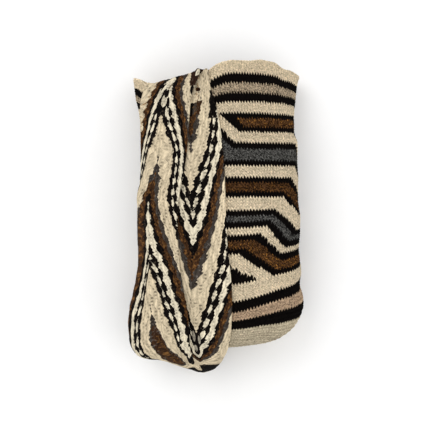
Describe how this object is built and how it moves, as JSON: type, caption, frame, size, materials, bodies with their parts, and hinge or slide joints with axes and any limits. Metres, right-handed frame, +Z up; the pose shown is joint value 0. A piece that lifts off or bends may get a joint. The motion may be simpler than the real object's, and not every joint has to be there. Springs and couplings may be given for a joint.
{
  "type": "mochila shoulder bag",
  "caption": "Soft hand-looped wool bucket bag lying on its back, banded in earth tones, its wide woven strap running down the front and doubling back over itself.",
  "frame": {"origin": "on the resting plane, under the middle of the bounding box of the bag and its strap", "axes": "+Y from the base to the mouth, +Z up from the bag's back to its front, +X to the right as one looks down on the front with the mouth away from the viewer"},
  "size_m": [0.2138, 0.3918, 0.1164],
  "materials": {
    "looped_wool": "matte hand-spun wool in cream, black, brown and grey bands",
    "woven_wool": "matte twined wool with chevrons in cream, black, brown and grey",
    "sewing_yarn": "matte cream wool yarn"
  },
  "bodies": {
    "root": {"bag_body": "looped_wool", "strap": "woven_wool", "strap_stitching_front": "sewing_yarn", "strap_stitching_back": "sewing_yarn"}
  },
  "joints": []
}
